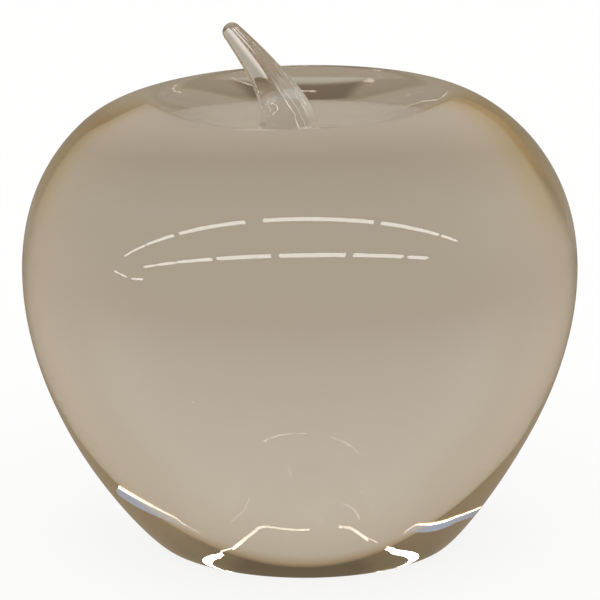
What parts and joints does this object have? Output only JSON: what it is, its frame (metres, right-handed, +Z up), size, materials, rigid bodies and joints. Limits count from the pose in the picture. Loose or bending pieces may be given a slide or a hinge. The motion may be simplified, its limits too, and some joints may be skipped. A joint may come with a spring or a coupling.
{
  "type": "art glass apple paperweight",
  "caption": "Solid clear glass apple with a ground flat to stand on, a shallow dimple at the top and a bent, tapering glass stem fused in it.",
  "frame": {"origin": "middle of the ground flat under the body, which is also the middle of the bottom of the bounding box", "axes": "+Z up along the body's axis of revolution; the stem leans towards -X; -Y faces the viewer of the picture"},
  "size_m": [0.1, 0.1, 0.0949],
  "materials": {
    "body_glass": "fire polished, ground and polished underneath",
    "stem_glass": "fire polished, with drawn ridges"
  },
  "bodies": {
    "root": {"apple_body": "body_glass", "stem": "stem_glass"}
  },
  "joints": []
}
